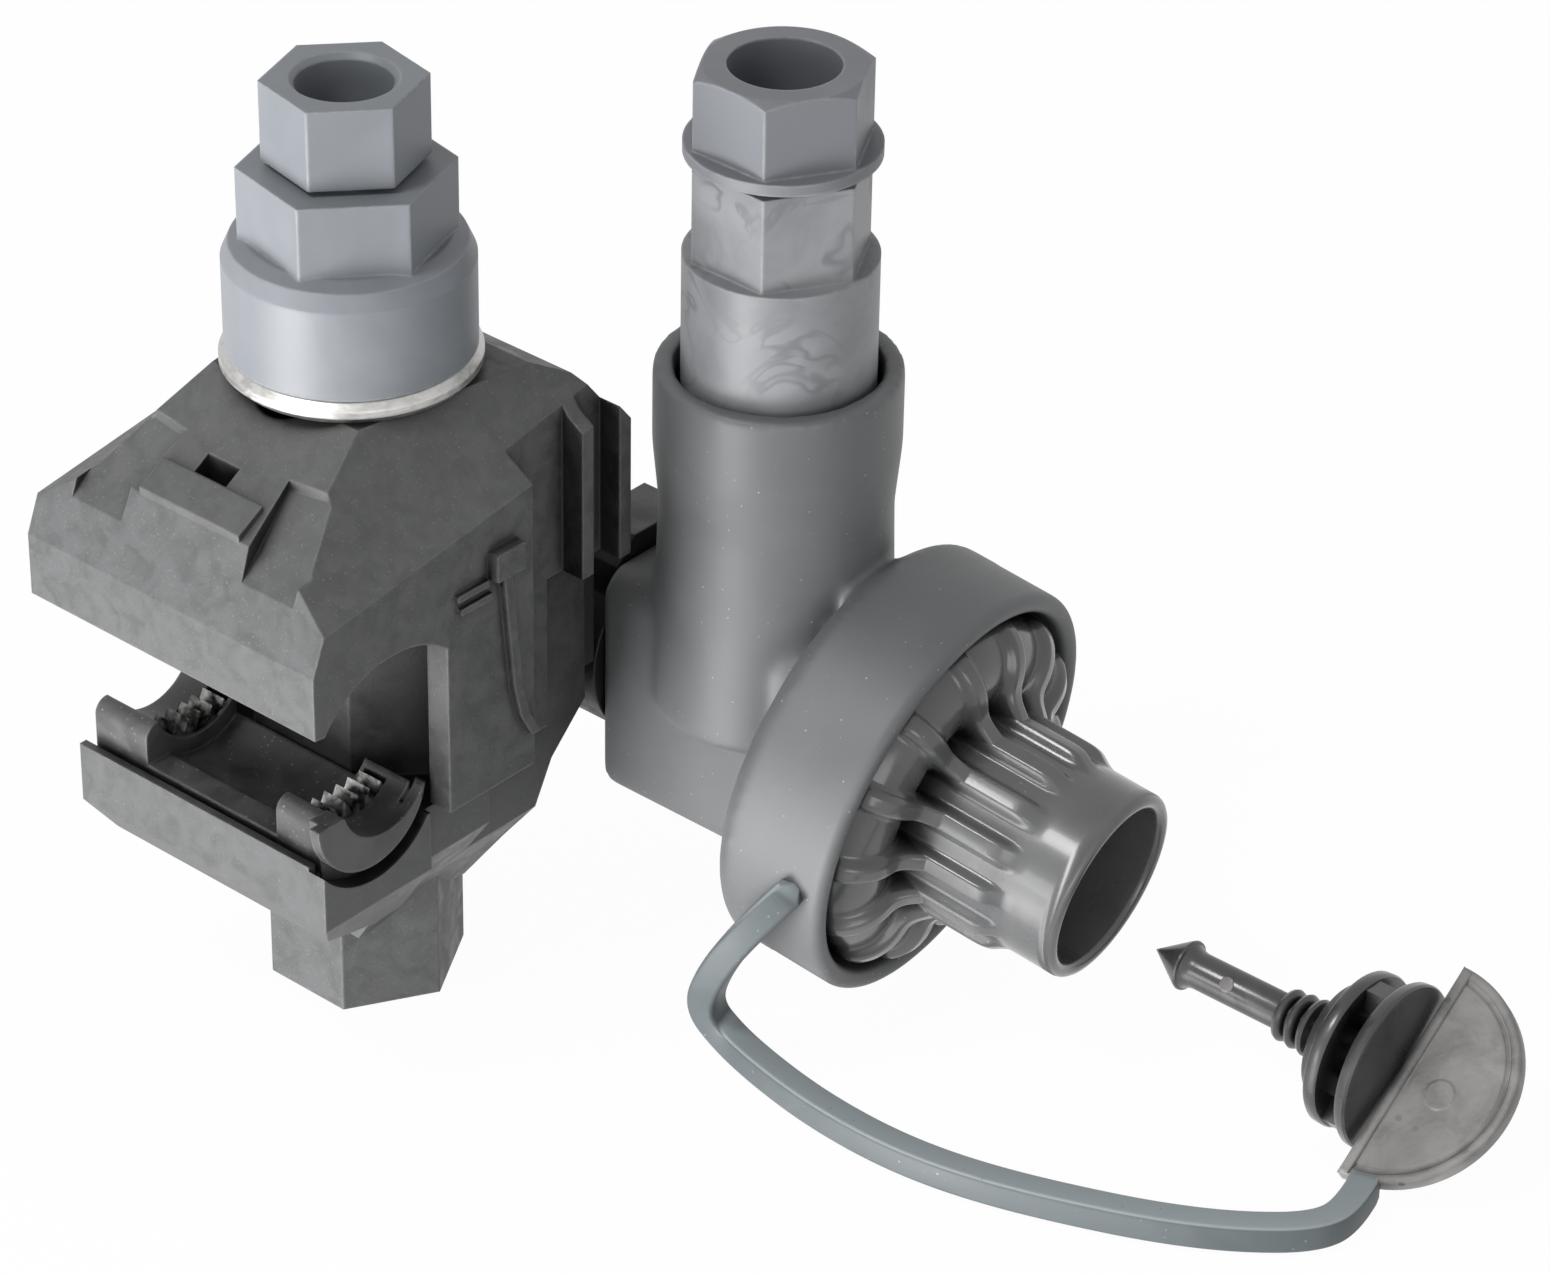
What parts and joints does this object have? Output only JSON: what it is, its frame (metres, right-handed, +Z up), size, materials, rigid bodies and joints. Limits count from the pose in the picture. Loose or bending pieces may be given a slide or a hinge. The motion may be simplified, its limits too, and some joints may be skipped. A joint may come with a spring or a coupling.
{
  "type": "insulation piercing connector",
  "caption": "Cable connector with two bolted piercing jaws and a booted branch terminal, its rubber cable grommet and a sealing plug on a strap.",
  "frame": {"origin": "on the main bolt's axis, at the foot of the boss and of the bolt head", "axes": "+X along both cables towards the branch cable's mouth, +Y towards the branch terminal, +Z up along the main bolt"},
  "size_m": [0.1213, 0.0788, 0.0935],
  "materials": {
    "black_jaw": "glass-filled black moulding, lightly rough",
    "grey_nut": "satin grey moulding",
    "grey_head": "satin grey moulding with pale swirls",
    "steel": "plain steel",
    "zinc_washer": "bright zinc plating",
    "black_seal": "black rubber, greased",
    "tinned_blade": "bright tinned metal",
    "aluminium_bar": "plain aluminium",
    "grey_boot": "matt mid-grey rubber",
    "black_grommet": "smooth black rubber with a soft gloss",
    "grey_strap": "grey elastic strap",
    "black_plug": "glossy black moulding"
  },
  "bodies": {
    "lower": {"lower_jaw": "black_jaw", "main_bolt": "steel", "lower_seal": "black_seal", "lower_blade_left": "tinned_blade", "lower_blade_right": "tinned_blade", "contact_bar": "aluminium_bar", "terminal_carrier": "black_jaw", "terminal_block": "aluminium_bar", "elbow_boot": "grey_boot", "cable_grommet": "black_grommet", "lanyard": "grey_strap", "plug": "black_plug"},
    "upper": {"upper_jaw": "black_jaw", "upper_seal": "black_seal", "upper_blade_left": "tinned_blade", "upper_blade_right": "tinned_blade", "main_washer": "zinc_washer"},
    "nut": {"shear_nut": "grey_nut", "nut_insert": "steel"},
    "plate": {"pressure_plate": "tinned_blade"},
    "screw": {"branch_screw": "steel", "branch_head": "grey_head"}
  },
  "joints": [
    {"name": "jaw_close", "type": "slide", "parent": "lower", "child": "upper", "axis": [0, 0, -1], "range_m": [0, 0.01]},
    {"name": "nut_turn", "type": "hinge", "parent": "upper", "child": "nut", "pos_m": [0, 0, 0.08], "axis": [0, 0, -1], "range_deg": [0, 2881]},
    {"name": "plate_press", "type": "slide", "parent": "lower", "child": "plate", "axis": [0, 0, -1], "range_m": [0, 0.003]},
    {"name": "screw_turn", "type": "hinge", "parent": "plate", "child": "screw", "pos_m": [0.0226, 0.0324, 0.06], "axis": [0, 0, -1], "range_deg": [0, 865]}
  ],
  "couplings": [
    {"joint": "nut_turn", "follows": "jaw_close", "rad_per_m": 5026.5},
    {"joint": "screw_turn", "follows": "plate_press", "rad_per_m": 5026.5}
  ]
}
